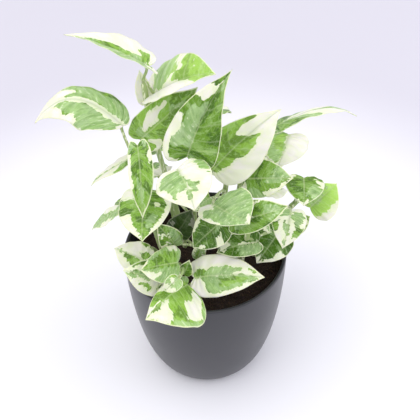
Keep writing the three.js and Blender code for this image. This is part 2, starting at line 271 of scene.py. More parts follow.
pot_material, tree, shader, place = new_material("moulded_polypropylene_charcoal", IOR=1.55)
grain = add_node(tree, "ShaderNodeTexNoise", Vector=place, Scale=1 / (MOULD_GRAIN * MM), Detail=2.0)
rubbed = add_node(tree, "ShaderNodeTexNoise", Vector=place, Scale=1 / (RUBBED_PATCH * MM), Detail=3.0)
tint = painted(tree, "#222328", (rubbed, "#2b2c32"))
sheen = add_node(tree, "ShaderNodeMapRange", Value=rubbed, From_Min=0.3, From_Max=0.7,
                 To_Min=0.29, To_Max=0.36)
relief = add_node(tree, "ShaderNodeBump", Strength=0.1, Distance=0.1 * MM, Height=grain)
connect(tree, shader, Base_Color=tint, Roughness=sheen, Normal=relief)
pot.data.materials.append(pot_material)
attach(pot, "root")
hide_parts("pot")
print("pot material:", pot_material.name)

# %% [markdown]
# ## The soil
# Potting mix is dark peat and coir with crumbs and chips of bark. Two layers make it: a
# surface with a fine uneven grain, and loose crumbs on it. The surface is worked out in
# code from the same crown as the solid. The crumbs repeat, so a Geometry Nodes tree scatters
# them: it is quick, evenly spaced and the same on each run, because its seed is fixed.

# %% Soil surface
CLEARANCE = 0.3
SOIL_LEVEL = 111
SOIL_CROWN = 2.5
SOIL_HEAP = 1.1
SOIL_LUMP = 0.7
SOIL_GRAIN = 0.35
SOIL_EDGE = 0.6
SOIL_RADIUS = RIM_RADIUS - POT_WALL - CLEARANCE - SOIL_EDGE
SOIL_RINGS = 60


def soil_height(x, y):
    """A low crown with heaps about 30 mm apart, lumps about 12 mm apart and grain of 3 mm."""
    crown = SOIL_CROWN * (1 - (x * x + y * y) / SOIL_RADIUS ** 2)
    heaps = SOIL_HEAP * np.sin(0.21 * x + 1.3) * np.cos(0.17 * y)
    lumps = SOIL_LUMP * np.sin(0.53 * x + 0.2) * np.sin(0.47 * y + 2)
    grain = SOIL_GRAIN * np.sin(1.9 * x + 1.1 * y) * np.sin(1.3 * x - 2.3 * y + 0.7)
    return SOIL_LEVEL + crown + heaps + lumps + grain


wall_gap = POT_WALL + CLEARANCE
soil_floor = POT_FLOOR + CLEARANCE
soil_wall = [point for point in pot_side(FOOT_RADIUS - wall_gap, RIM_RADIUS - wall_gap, soil_floor,
                                         POT_HEIGHT) if point[1] < SOIL_LEVEL - 1]
soil_top = [(SOIL_RADIUS * (1 - i / SOIL_RINGS), SOIL_LEVEL) for i in range(SOIL_RINGS + 1)]
soil = new_object("potting_mix", spun_mesh("potting_mix", [(0, soil_floor), *soil_wall, *soil_top]))
for vertex in soil.data.vertices:
    if vertex.co.z > (SOIL_LEVEL - SOIL_EDGE) * MM:
        vertex.co.z = soil_height(vertex.co.x / MM, vertex.co.y / MM) * MM
print("soil surface points:", len(soil.data.vertices))

# %% Helpers for Geometry Nodes
def new_tree(name, inputs):
    """A Geometry Nodes tree with named inputs. Returns it with what the inputs give."""
    tree = bpy.data.node_groups.new(name, "GeometryNodeTree")
    for way in ("INPUT", "OUTPUT"):
        tree.interface.new_socket("Geometry", in_out=way, socket_type="NodeSocketGeometry")
    for label, kind in inputs.items():
        tree.interface.new_socket(label, in_out="INPUT", socket_type="NodeSocket" + kind)
    return tree, add_node(tree, "NodeGroupInput").outputs


def finish_tree(tree, given, added):
    """Makes what was added real, gives it its material and joins it to what came in."""
    real = add_node(tree, "GeometryNodeRealizeInstances", Geometry=added)
    coated = add_node(tree, "GeometryNodeSetMaterial", Geometry=real, Material=given["Material"])
    whole = add_node(tree, "GeometryNodeJoinGeometry", Geometry=given["Geometry"])
    connect(tree, whole, Geometry=coated)
    add_node(tree, "NodeGroupOutput", Geometry=whole)


def apply_tree(piece, tree, values):
    """Runs the tree on the piece and keeps the result as its plain mesh."""
    modifier = piece.modifiers.new(tree.name, "NODES")
    modifier.node_group = tree
    for item in tree.interface.items_tree:
        if item.in_out == "INPUT" and item.name in values:
            modifier[item.identifier] = values[item.name]
    evaluated = piece.evaluated_get(bpy.context.evaluated_depsgraph_get())
    mesh = bpy.data.meshes.new_from_object(evaluated)
    piece.modifiers.remove(modifier)
    piece.data = mesh


print("node trees so far:", len(bpy.data.node_groups))

# %% [markdown]
# Peat is nearly black and fully matt. Its coir fibres show as brown flecks about 2 mm long, so
# one noise gives both the colour and the relief. Bark crumbs are a little lighter, and each
# is turned and stretched at random.

# %% Soil materials
FIBRE_LENGTH = 2.2
BARK_PATCH = 3.5

soil_material, tree, shader, place = new_material("moist_peat_and_coir", Roughness=0.9)
fibre = add_node(tree, "ShaderNodeTexNoise", Vector=place, Scale=1 / (FIBRE_LENGTH * MM), Detail=6.0,
                 Roughness=0.7)
peat = painted(tree, "#120a08", (fibre, "#36241a"))
relief = add_node(tree, "ShaderNodeBump", Strength=0.7, Distance=0.5 * MM, Height=fibre)
connect(tree, shader, Base_Color=peat, Normal=relief)
soil.data.materials.append(soil_material)

crumb_material, tree, shader, place = new_material("bark_crumb", Roughness=0.85)
patch = add_node(tree, "ShaderNodeTexNoise", Vector=place, Scale=1 / (BARK_PATCH * MM), Detail=3.0)
contrast = add_node(tree, "ShaderNodeMapRange", Value=patch, From_Min=0.35, From_Max=0.7)
bark = painted(tree, "#170f0b", (contrast, "#4d3424"))
connect(tree, shader, Base_Color=bark)
print("soil materials:", soil_material.name, crumb_material.name)

# %% Loose crumbs by Geometry Nodes
CRUMB_SPACING = 1.35
CRUMB_SIZE = 0.75
CRUMBS_PER_SQUARE_METRE = 2.0e6
FULL_TURN = 6.28
SEED = 7

tree, given = new_tree("scattered_crumbs", {"Spacing": "Float", "Size": "Float", "Seed": "Int",
                                            "Material": "Material"})
upward = add_node(tree, "ShaderNodeSeparateXYZ", Vector=add_node(tree, "GeometryNodeInputNormal"))
is_top = add_node(tree, "FunctionNodeCompare", operation="GREATER_THAN", A=upward.outputs["Z"], B=0.5)
spots = add_node(tree, "GeometryNodeDistributePointsOnFaces", distribute_method="POISSON",
                 Mesh=given["Geometry"], Selection=is_top, Distance_Min=given["Spacing"],
                 Density_Max=CRUMBS_PER_SQUARE_METRE, Seed=given["Seed"])
crumb = add_node(tree, "GeometryNodeMeshIcoSphere", Radius=given["Size"], Subdivisions=1)
turned = add_node(tree, "FunctionNodeRandomValue", data_type="FLOAT_VECTOR", Min=(0, 0, 0),
                  Max=(FULL_TURN, FULL_TURN, FULL_TURN), Seed=1)
stretch = add_node(tree, "FunctionNodeRandomValue", data_type="FLOAT_VECTOR", Min=(0.5, 0.4, 0.3),
                   Max=(1.9, 1.3, 1.0), Seed=2)
placed = add_node(tree, "GeometryNodeInstanceOnPoints", Points=spots, Instance=crumb, Rotation=turned,
                  Scale=stretch)
finish_tree(tree, given, placed)
apply_tree(soil, tree, {"Spacing": CRUMB_SPACING * MM, "Size": CRUMB_SIZE * MM, "Seed": SEED,
                        "Material": crumb_material})
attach(soil, "root")
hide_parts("soil")
print("soil triangles:", sum(len(p.vertices) - 2 for p in soil.data.polygons))

# %% [markdown]
# ## The leafy stems
# The plant is a bunch of rooted cuttings. Each has a stem, petioles and heart-shaped blades,
# and grew as one piece, so each is one mesh. The lines below are those that the solids were
# made from. A stem has a name and the points of its path. A leaf grows on the stem above it,
# and its line gives, in this order: the share of the stem's path where it leaves, the place
# where the petiole meets the blade, the tip, the way that the upper side looks, the width, the
# tone of the ground, the shade and the marks. The shade runs from -1, the yellow-green of a new
# leaf, to 1, the deep green of an aged one, and is partly the leaf's age and partly painted
# light: a low shade also paints a leaf lit through from behind, a high one a leaf in shade. From
# 1 to 2 it lays a painted shade, near black, on a leaf in the dark of the bunch. A mark is a
# sector in another tone: from where to where it runs across the blade (-1 is the left edge, 1
# the right) and from which to which of the blade's eight rows. Then follow the names of what
# shapes the blade, where it isn't plain.

# %% Helpers for stems and leaves
# arch and hook lift the midrib, fold and curl bend the two halves, sickle and twist turn the
# blade, taper, uneven, slant and blunt change its outline, and wave is the size of its waves.
PLAIN_LEAF = dict(arch=0.08, hook=0.35, fold=12, curl=0.2, taper=0, uneven=0, slant=0, sickle=0,
                  blunt=0, twist=0, wave=0.1)
GREEN, MINT, CREAM = "green", "mint", "cream"
stems = {}


def unit(vectors):
    return vectors / np.linalg.norm(vectors, axis=-1, keepdims=True)


def leaf_count():
    return sum(len(one.leaves) for one in stems.values())


def stem(name, *path):
    """Starts a stem. The leaves after it grow on it."""
    stems[name] = SimpleNamespace(path=path, leaves=[])


def leaf(at, base, tip, face, width, ground, shade, *marks, **form):
    """A leaf, with its own directions: along, out of its face and right."""
    base = np.array(base, float)
    reach = np.array(tip, float) - base
    along = unit(reach)
    face = unit(face - along * (face @ along))
    newest = list(stems.values())[-1].leaves
    newest.append(SimpleNamespace(
        **{**PLAIN_LEAF, **form}, number=leaf_count(), at=at, base=base, along=along, face=face,
        right=np.cross(along, face), length=np.linalg.norm(reach), width=width, ground=ground,
        shade=shade, marks=marks))


print("measures that shape a blade:", len(PLAIN_LEAF))

# %% Tall stems on the left and in the middle
stem("back_left_tall", (-16, 14, 100), (-22, 18, 150), (-33, 24, 205), (-40, 30, 250), (-42, 36, 272))
leaf(1, (-37, 36, 284), (-94, 32, 315), (3, 1, 10), 44, CREAM, -0.2, (MINT, -1, 0.3, 3, 6.9),
     (GREEN, -0.5, 0.15, 0, 2.6), (GREEN, -1, -0.5, 0, 0.7), (GREEN, 0.05, 0.6, 2.4, 3.9),
     (GREEN, -0.2, 0.3, 4.9, 6.3), arch=0.05, fold=26, taper=0.65)
leaf(0.98, (-36, 34, 260), (11, 22, 286), (-1, 0, 10), 54, CREAM, -0.5, (GREEN, -1, 1, 5.9, 7.9),
     (GREEN, -1, -0.15, 5.2, 6), (MINT, -1, -0.05, 2.5, 4.8), fold=24, taper=-0.3, uneven=-0.1,
     slant=-0.06, wave=0)
leaf(0.68, (-47, 20, 229), (-2, 28, 271), (2, -9, 8), 32, GREEN, -0.25, (CREAM, -0.74, -0.14, 4.1, 5.6),
     (CREAM, 0.3, 1, 2.9, 3.6), (MINT, -0.3, 0.4, 6, 6.6), (MINT, -0.5, 0.1, 2.8, 4),
     (MINT, 0.1, 1, 0.8, 2.4), arch=0.06)
leaf(0.9, (-42, 46, 244), (-46, 52, 270), (0, -10, 4), 14, CREAM, 0, (MINT, 0.1, 0.7, 1, 3), arch=0.06)
stem("left_tall", (-30, -4, 100), (-38, -4, 145), (-45, -4, 190), (-50, -2, 225))
leaf(0.97, (-57, 8, 252), (-120, 6, 258), (0, -2, 10), 47, CREAM, 0.1, (MINT, -0.96, -0.14, 1.6, 4.6),
     (MINT, -0.8, -0.18, 4.4, 6.2), (MINT, 0.15, 1, 1.3, 6), (GREEN, 0.84, 1, 2.8, 5.6), arch=0.32,
     hook=0.3, fold=-2, curl=0.26, taper=0.3, slant=0.13, sickle=0.1, blunt=0.2)
leaf(1, (-46, -10, 249), (-44, -42, 207), (-2, -10, 8), 20, GREEN, 0.2, (CREAM, -1, -0.6, 3.1, 4.1),
     (MINT, -1, -0.5, 1.5, 2.6), (CREAM, 0.66, 1, 3, 5.2), (MINT, 0.4, 1, 1.2, 2.9),
     (MINT, -0.5, 0.5, 5.7, 6.5), fold=20, uneven=-0.1, sickle=-0.03)
leaf(0.85, (-53, 5, 224), (-86, 0, 201), (2, 1, 10), 15, MINT, 0.2, (CREAM, -1, 0.2, 4.4, 8),
     (CREAM, 0.1, 1, 2.6, 6.4), (GREEN, -1, -0.2, 2.6, 4.2), arch=0.05, fold=10)
leaf(0.75, (-42, -17, 208), (-45, -50, 191), (-2, -10, 10), 40, GREEN, 0.15, (CREAM, -1, -0.8, 2.5, 7),
     (CREAM, -0.56, -0.34, 3.9, 4.7), (CREAM, 0.5, 1, 5.1, 7.6), (CREAM, 0.45, 1, 1.6, 3.6),
     (MINT, -0.3, 0.2, 1, 3), (MINT, -0.7, -0.3, 5.4, 6.6), arch=0.05, fold=8, sickle=0.03)
leaf(0.55, (-68, 0, 173), (-91, 0, 152), (-4, 1, 10), 20, MINT, 0, (CREAM, -1, -0.6, 3.6, 5.6),
     (CREAM, 0.35, 1, 2.8, 5.4), (CREAM, 0, 1, 0, 1), arch=0.05)
stem("centre_tall", (-6, 0, 100), (-8, 0, 150), (-7, -2, 200), (-7, 4, 228))
leaf(1, (-11, -10, 237), (22, 8, 300), (0, -10, 7), 50, GREEN, 0.55, (MINT, -0.75, -0.05, 3.3, 5.6),
     (CREAM, -1, -0.74, 1.3, 5), (CREAM, -1, -0.15, 5.8, 6.7), (MINT, 0.05, 0.8, 6.7, 8),
     (MINT, 0.1, 0.6, 1.2, 2.8), arch=0.03, fold=24, taper=0.5, uneven=0.04, sickle=-0.04, twist=35)
leaf(0.7, (-18, -26, 240), (-6, -54, 226), (0, -6, 10), 42, CREAM, -0.15, (MINT, -0.02, 0.8, 2.7, 5.9),
     (MINT, -0.5, 0, 4.9, 5.7), (MINT, -0.15, 0.2, 5.9, 6.8), (MINT, -1, -0.72, 2.4, 4.2), fold=6,
     sickle=-0.04)
leaf(0.4, (-36, 6, 186), (-31, 1, 164), (0, -10, 6), 18, GREEN, 0.6, (CREAM, 0.3, 0.8, 2.5, 5))
stem("centre_right", (12, 8, 100), (14, 10, 150), (18, 12, 190), (20, 13, 202))
leaf(1, (7, 2, 212), (59, 22, 254), (1, -10, 10), 48, CREAM, -0.3, (GREEN, -0.75, 0.45, 4.3, 5.75),
     (GREEN, -1, -0.7, 4.6, 6), (GREEN, -0.45, 0.3, 2.6, 4.6), (GREEN, -0.2, 0.2, 0.2, 2.6),
     arch=0.05, taper=0.28, uneven=0.08, slant=-0.08, sickle=-0.03)
leaf(0.55, (7, -31, 209), (33, -50, 207), (1, -5, 10), 38, MINT, 0.35, (CREAM, 0.1, 1, 0, 3.4),
     (CREAM, -1, 0, 0, 0.9), (CREAM, -1, 0.55, 7, 8), (CREAM, 0.8, 1, 3.2, 5.4), arch=0.05, fold=14,
     uneven=-0.2, slant=0.2, sickle=0.03)
leaf(0.45, (5, -11, 196), (-8, -16, 187), (0, -6, 10), 15, MINT, 0, (CREAM, -0.6, 0.4, 5.6, 7.2),
     (GREEN, 0.1, 0.9, 0.5, 4))
print("leaves so far:", leaf_count())

# %% Stems on the right
stem("right_tall", (24, 20, 100), (34, 26, 150), (46, 32, 195), (52, 34, 216))
leaf(0.6, (32, 2, 203), (68, -6, 210), (0, -8, 10), 30, GREEN, 0.35, (MINT, -1, 0.4, 5.6, 7.1),
     (CREAM, 0.68, 1, 4.6, 8), (CREAM, -1, 1, 7.4, 8), (MINT, 0.5, 1, 3, 4.4),
     (CREAM, 0.2, 1, 1.3, 2.8), arch=0.05, fold=6)
leaf(1, (54, 34, 226), (121, 45, 227), (0, 5, 10), 30, MINT, 0.3, (GREEN, -1, 0.9, 2.4, 4.4),
     (CREAM, -1, 0.2, 4.7, 6), (CREAM, 0.1, 1, 5, 8), arch=0.14, fold=4)
leaf(0.85, (66, 26, 226), (57, 10, 206), (0, -10, 5), 36, CREAM, -0.6, (MINT, 0.03, 0.9, 0.3, 6.5),
     (GREEN, 0.08, 0.5, 1.4, 5.2), arch=0.05, slant=-0.12)
stem("right_low", (36, 4, 100), (50, 6, 135), (66, 8, 160), (76, 10, 172))
leaf(0.8, (78, 8, 197), (76, -14, 188), (1, -5, 10), 32, GREEN, 0.45, (CREAM, -1, -0.55, 3.5, 4.7),
     (CREAM, -1, 1, 7, 8), (CREAM, 0.55, 1, 2.2, 3.7), (MINT, -1, -0.25, 5, 6.3),
     (CREAM, -1, -0.5, 0.6, 1.4), arch=0.1, fold=14)
leaf(1, (85, 8, 164), (107, 20, 179), (3, -5, 10), 30, GREEN, -1, (MINT, -0.5, 0.1, 3, 5.4),
     (CREAM, 0.66, 1, 1.8, 5.6), (CREAM, -1, -0.6, 1, 3.2), (MINT, -1, -0.3, 5.4, 6.4), arch=0.1,
     uneven=0.2)
leaf(0.6, (67, -12, 182), (60, -32, 160), (1, -10, 6), 30, CREAM, 0.3, (MINT, -0.2, 0.38, 5.2, 6.1),
     (MINT, 0, 0.5, 0.4, 4.4), (GREEN, -1, -0.5, 4.6, 5.7), (MINT, -0.8, -0.12, 2.2, 4.6),
     (GREEN, 0.62, 1, 4.1, 5.1), (MINT, -0.5, 0.6, 6.7, 7.5), arch=0.05, taper=0.2)
leaf(0.4, (70, 2, 147), (86, 8, 154), (1, -6, 10), 18, GREEN, 0.3, (CREAM, 0.3, 0.8, 4.5, 6.5),
     arch=0.1)
stem("front_right", (26, -16, 100), (30, -20, 140), (34, -22, 170), (36, -20, 182))
leaf(0.98, (21, -35, 194), (62, -35, 210), (0, -6, 10), 25, GREEN, 0.45, (MINT, -0.8, 0.8, 6, 7.1),
     (CREAM, -1, 0.1, 4.9, 5.3), (MINT, 0.1, 0.6, 2.5, 4.2), uneven=-0.1, sickle=0.04)
leaf(0.55, (42, -24, 160), (9, -28, 152), (1, -3, 10), 24, GREEN, 0.95, (MINT, -0.92, -0.08, 1.8, 5.5),
     (CREAM, -0.07, 0.08, 1, 5.4), (CREAM, -1, -0.3, 0, 1.9), (CREAM, -0.4, 1, 6.2, 7.2), fold=18)
leaf(0.45, (61, 0, 146), (41, -25, 135), (1, -7, 10), 34, GREEN, 1.1, (CREAM, -1, -0.6, 5, 8),
     (CREAM, -1, 1, 7, 8), (CREAM, 0.2, 0.7, 3.8, 4.4))
leaf(0.9, (44, -26, 186), (50, -32, 178), (0, -10, 6), 6, MINT, 0, (CREAM, 0.1, 1, 2, 7), fold=20)
print("leaves so far:", leaf_count())

# %% Low stems
stem("front_left", (-20, -26, 100), (-22, -26, 125), (-20, -28, 138))
leaf(0.6, (-34, -40, 134), (-64, -40, 148), (0, -7, 10), 29, CREAM, 0, (MINT, -1, -0.1, 6.3, 7.5),
     (GREEN, -0.68, -0.44, 3.8, 5.5), (MINT, -0.3, 0.3, 5.4, 6.6), (GREEN, 0.05, 0.34, 4.6, 5.7),
     (GREEN, 0.66, 1, 4.4, 6.6), (GREEN, -0.56, -0.3, 1.8, 3.4), (MINT, 0.2, 0.7, 1.6, 3.4), arch=0.1)
leaf(1, (-21, -37, 152), (-50, -44, 152), (0, -4, 10), 30, MINT, -0.15, (GREEN, -0.2, 0.7, 2.4, 7.2),
     (CREAM, -1, -0.5, 5.4, 8), (MINT, -1, -0.2, 0.8, 4.4), (CREAM, 0.74, 1, 3, 4.3),
     (CREAM, 0.3, 1, 6.8, 8), arch=0.05, slant=0.12)
leaf(0.8, (-20, -58, 158), (-31, -61, 147), (0, -10, 10), 14, MINT, -0.5, (CREAM, -1, 1, 5.4, 7.2),
     (CREAM, -0.05, 0.6, 3.6, 5.4), (GREEN, 0.4, 1, 2.4, 4), arch=0.1, fold=24)
leaf(0.9, (-17, -39, 140), (-12, -36, 154), (0, -10, 6), 12, GREEN, 0.6)
stem("front", (2, -30, 100), (0, -30, 115), (-4, -32, 126))
leaf(0.9, (-14, -46, 136), (-45, -84, 142), (0, -4, 10), 44, GREEN, -0.3,
     (CREAM, -0.86, -0.34, 1.4, 4.6), (CREAM, -0.9, -0.12, 5.6, 8), (CREAM, 0.15, 1, 6.3, 8),
     (MINT, 0.35, 1, 0.8, 2.8), (CREAM, 0.6, 1, 3.9, 5), (MINT, -1, -0.86, 2, 6), arch=0.06, fold=4,
     curl=0.04, uneven=-0.55, slant=0.09, sickle=0.04, wave=0.03)
leaf(1, (-9, -41, 138), (46, -48, 145), (0, -6, 10), 34, CREAM, -0.2, (GREEN, -0.34, 0.06, 1.6, 4.8),
     (MINT, -0.5, 0.06, 4.5, 6.2), (MINT, 0, 0.78, 3.6, 7.2), (GREEN, 0.12, 0.6, 4.7, 6.2),
     (GREEN, -0.95, -0.5, 6.3, 7.1), arch=0.05, fold=8, sickle=-0.03)
stem("middle_low", (-2, -14, 100), (-2, -12, 130), (4, -10, 165))
leaf(1, (14, -20, 180), (-9, -30, 161), (0, -6, 10), 30, GREEN, 0.85, (CREAM, -1, -0.4, 4.4, 5.1),
     (CREAM, -1, -0.5, 6.3, 6.7), (CREAM, 0.84, 1, 4.4, 6.6), (MINT, -0.3, -0.03, 3, 5))
leaf(0.7, (14, -12, 151), (33, -6, 160), (0, -6, 10), 18, GREEN, 0.4, (CREAM, -0.05, 0.12, 1, 7))
leaf(0.6, (-23, -17, 149), (-37, -20, 180), (4, -10, 6), 20, GREEN, 0.45, (CREAM, -1, -0.1, 4.2, 4.7),
     (CREAM, -1, 0.3, 5.6, 5.9), (CREAM, -1, -0.5, 6.2, 6.6), (MINT, 0.1, 0.8, 1, 6), arch=0.1)
leaf(0.5, (-23, -9, 154), (-9, -5, 179), (0, -10, 6), 22, GREEN, 2, (CREAM, -0.95, -0.5, 4, 4.4),
     (CREAM, 0.6, 1, 5, 6))
leaf(0.2, (-6, -20, 137), (0, -18, 157), (-3, -10, 6), 12, MINT, 0.2, (GREEN, -0.4, 0.1, 1, 6),
     (CREAM, 0.4, 1, 1, 5), (CREAM, -1, -0.6, 3, 6), fold=20)
stem("left_low", (-34, 10, 100), (-44, 6, 120), (-46, -4, 128))
leaf(1, (-46, -20, 134), (-74, -8, 138), (0, -4, 10), 28, CREAM, -0.1, (GREEN, -0.6, -0.06, 4.2, 6),
     (GREEN, 0.08, 0.5, 2, 4.3), (MINT, -0.3, 0.3, 6, 7), (MINT, -0.9, -0.4, 1.6, 3.6),
     (GREEN, 0.84, 1, 3, 4.6), arch=0.05, fold=6)
print("leaves so far:", leaf_count())

# %% Stems at the back
stem("back", (0, 32, 100), (2, 40, 150), (4, 46, 200), (2, 48, 216))
leaf(1, (0, 52, 224), (5, 97, 192), (0, 8, 10), 46, GREEN, 0.2, (CREAM, -1, -0.35, 2.4, 4.6),
     (CREAM, 0.3, 1, 5.2, 6.4), (MINT, 0.05, 0.7, 1.4, 3.8))
leaf(0.9, (22, 50, 198), (55, 78, 172), (5, 6, 10), 42, CREAM, 0, (GREEN, -1, -0.1, 2.6, 5),
     (GREEN, 0.1, 0.8, 1, 3), (MINT, 0, 0.6, 4.6, 6))
leaf(0.8, (-19, 52, 196), (-50, 80, 168), (-5, 6, 10), 42, GREEN, 0.1, (CREAM, 0.1, 0.9, 2.8, 5),
     (CREAM, -1, -0.4, 1, 2.2), (MINT, -0.8, -0.1, 4.6, 6))
stem("back_left", (-22, 30, 100), (-28, 38, 140), (-32, 44, 166))
leaf(1, (-38, 54, 160), (-60, 86, 134), (-4, 6, 10), 36, CREAM, -0.1, (GREEN, 0.3, 1, 4.4, 5.8),
     (GREEN, -0.8, -0.2, 4.8, 6), (MINT, -0.9, -0.3, 1.6, 2.8))
leaf(0.8, (-16, 54, 146), (-18, 98, 126), (-1, 6, 10), 38, CREAM, 0.1, (GREEN, 0, 0.9, 1, 6.6),
     (MINT, -1, -0.4, 2, 4))
leaf(0.7, (-46, 32, 148), (-78, 50, 132), (-6, 4, 10), 36, GREEN, 0.2, (CREAM, -1, -0.3, 2.4, 5.4),
     (CREAM, 0, 0.4, 1, 2.4))
stem("back_right", (20, 34, 100), (28, 42, 140), (32, 48, 166))
leaf(1, (36, 52, 170), (68, 82, 146), (5, 6, 10), 40, GREEN, 0.3, (CREAM, 0.3, 1, 2, 4.2),
     (CREAM, -0.9, 0, 5.6, 6.6))
leaf(0.85, (20, 56, 156), (24, 98, 134), (1, 6, 10), 38, CREAM, 0, (GREEN, 0, 0.9, 2, 6),
     (GREEN, -0.9, -0.4, 1.4, 3.6))
leaf(0.7, (46, 44, 148), (72, 66, 128), (5, 5, 10), 30, CREAM, 0.2, (GREEN, 0, 0.5, 3, 7),
     (MINT, -1, -0.2, 4, 6))
print("leaves so far:", leaf_count())

# %% [markdown]
# ### The form of a blade
# A blade could be sculpted, but 47 leaves that must all keep to their solids ask for a rule. A
# blade is a net of rows and columns. Each row is a side vein, which leaves the midrib low and
# sweeps forward to the edge, so that everything drawn along rows later follows the veins. The
# solid used nine rows. Here a smooth curve runs through the same nine points.

# %% Blade net
BLADE_EDGE = [(0, 0), (0.27, -0.055), (0.62, -0.055), (0.92, 0.08), (1, 0.29),
              (0.9, 0.51), (0.61, 0.73), (0.2, 0.905), (0, 1)]
VEIN_STARTS = [0, 0.01, 0.025, 0.06, 0.14, 0.33, 0.62, 0.86, 1]
VEIN_SWEEP = 1.4
WAVE_COUNT = 2.2
WAVE_STEP = 2.4
LEFT_WAVE_LEAD = 2


def smooth_through(points, share):
    """A Catmull-Rom curve through the points, read at shares from 0 to 1."""
    points = np.array(points, float)
    points = points.reshape(len(points), -1)
    padded = np.vstack([2 * points[0] - points[1], points, 2 * points[-1] - points[-2]])
    span = len(points) - 1
    share = np.asarray(share, float) * span
    i = np.clip(share.astype(int), 0, span - 1)
    f = (share - i)[:, None]
    a, b, c, d = padded[i], padded[i + 1], padded[i + 2], padded[i + 3]
    return 0.5 * (2 * b + (c - a) * f + (2 * a - 5 * b + 4 * c - d) * f ** 2
                  + (3 * b - a - 3 * c + d) * f ** 3)


def midrib_at(leaf, share):
    """The midrib's points with the directions ahead, up and right there."""
    share = np.asarray(share, float)[..., None]
    lean = 1 + leaf.hook * (2 * share - 1)
    hump = share * (1 - share)
    slope = 4 * leaf.arch * ((1 - 2 * share) * lean + 2 * leaf.hook * hump)
    turn = 4 * leaf.sickle * (1 - 2 * share)
    point = (leaf.base + leaf.along * leaf.length * share
             + leaf.face * leaf.length * 4 * leaf.arch * hump * lean
             + leaf.right * leaf.length * 4 * leaf.sickle * hump)
    forward = unit(leaf.along + leaf.face * slope + leaf.right * turn)
    up = unit(leaf.face - forward * (leaf.face * forward).sum(-1, keepdims=True))
    right = np.cross(forward, up)
    twist = math.radians(leaf.twist) * share
    up, right = up * np.cos(twist) - right * np.sin(twist), right * np.cos(twist) + up * np.sin(twist)
    return point, forward, up, right


def blade_net(leaf, rows, across):
    """The blade's middle surface as rows of points, with the flat place of each point."""
    edge = smooth_through(BLADE_EDGE, rows)
    edge[:, 1] += leaf.blunt * edge[:, 0] * (1 - edge[:, 1]) ** 2
    start = smooth_through(VEIN_STARTS, rows)
    side = np.sign(across)[None, :]
    reach = np.abs(across)[None, :]
    spread = edge[:, :1] * (1 - leaf.taper * np.clip(edge[:, 1:], 0, 1)) * (1 + leaf.uneven * side)
    flat_along = start + (edge[:, 1:] - start) * reach ** VEIN_SWEEP
    point, _, up, right = midrib_at(leaf, flat_along - leaf.slant * across[None, :] * spread)
    half_width = leaf.width / 2
    distance = reach * spread * half_width
    fold = math.radians(leaf.fold)
    angle = 2 * math.pi * WAVE_COUNT * rows[:, None] + WAVE_STEP * leaf.number
    angle = angle + np.where(side > 0, 0, LEFT_WAVE_LEAD)
    wave = leaf.wave * half_width * (reach * spread) ** 2 * np.sin(angle)
    rise = distance * math.sin(fold) - leaf.curl * distance ** 2 / half_width + wave
    point = point + right * (side * distance * math.cos(fold))[..., None] + up * rise[..., None]
    return point, across[None, :] * edge[:, :1], flat_along


print("rows in the solid:", len(BLADE_EDGE))

# %% [markdown]
# ### The marbling
# Marble queen leaves are sectors of full green, a pale grey-green and cream. Their borders run
# along the side veins, and where they cross the veins they break up into teeth. An image texture
# would blur and need painting. Instead, every point of the net carries two numbers in
# millimetres: how far it lies inside the coloured part, and how far inside the full green. The
# shader later turns them into crisp borders. Slow waves bend the sectors a little, so that no
# border is ruled.

# %% Marbling fields
FAR_INSIDE = 8.0
SECTOR_CORNER = 2.2
VEIN_ROWS = 8
ROWS_IN_A_LENGTH = 7
# A sector that reaches an edge or the tip runs on past it, so it has no border there.
PAST_EDGE = 9
PAST_TIP = 20
# The waves that bend the borders: their size, their number and their shift from leaf to leaf.
ROW_WAVES = ((0.3, 4.3, 1.3), (0.14, 9.7, 2.1))
ACROSS_WAVES = ((0.05, 15, 1.7), (0.03, 34, 0.6))


def bent(place, waves, along, number):
    return place + sum(size * np.sin(count * along + shift * number) for size, count, shift in waves)


def marbling(leaf, across, rows, half_widths):
    """How far each place lies inside colour, and inside full green, in millimetres."""
    row_length = leaf.length / ROWS_IN_A_LENGTH
    bent_rows = bent(VEIN_ROWS * rows, ROW_WAVES, across, leaf.number)
    bent_across = bent(across, ACROSS_WAVES, rows, leaf.number)
    coloured = np.full(across.shape, FAR_INSIDE if leaf.ground != CREAM else -FAR_INSIDE)
    full = np.full(across.shape, FAR_INSIDE if leaf.ground != MINT else -FAR_INSIDE)
    for tone, left, right, near, far in leaf.marks:
        left = -PAST_EDGE if left <= -1 else left
        right = PAST_EDGE if right >= 1 else right
        far = PAST_TIP if far >= VEIN_ROWS else far
        inward = np.minimum(bent_across - left, right - bent_across) * half_widths - SECTOR_CORNER
        onward = np.minimum(bent_rows - near, far - bent_rows) * row_length - SECTOR_CORNER
        inside = (SECTOR_CORNER - np.hypot(np.minimum(inward, 0), np.minimum(onward, 0))
                  + np.maximum(np.minimum(inward, onward), 0))
        inside = np.minimum(inside, FAR_INSIDE)
        if tone == CREAM:
            coloured = np.minimum(coloured, -inside)
        else:
            coloured = np.maximum(coloured, inside)
            full = np.maximum(full, inside) if tone == GREEN else np.minimum(full, -inside)
    return coloured, full


print("rows of veins on a blade:", VEIN_ROWS)

# %% [markdown]
# ### From net to blade
# The net gets its thickness as two skins and a rim. The midrib is a groove in the upper skin
# and a rounded rib under it. Between the side veins the blade swells a little, as on a
# quilt, and a fine ripple breaks the edge. All of this is real relief in the mesh, because
# bump in a shader doesn't change an outline or catch light from the side.

# %% Blade mesh
ROW_SPACING = 1.15
COLUMNS = 17
BLADE_THICKNESS = 0.5
RIB_WIDTH = 0.55
GROOVE_DEPTH = 0.22
RIB_HEIGHT = 0.45
SIDE_VEINS = 9
QUILT_HEIGHT = 0.32
RIPPLE_HEIGHT = 0.45
RIPPLE_COUNT = 7
RIPPLE_SHIFT = 1.7
ROW_LIMITS = (26, 84)
SWEPT_LENGTH = 1.35
COLUMN_CROWDING = 1.25
RIB_TAPER = 0.65
EDGE_THINNING = 0.45
QUILT_FADE = 0.7
FULL_RELIEF_AT = 16
NOISE_SHIFT = 3.7


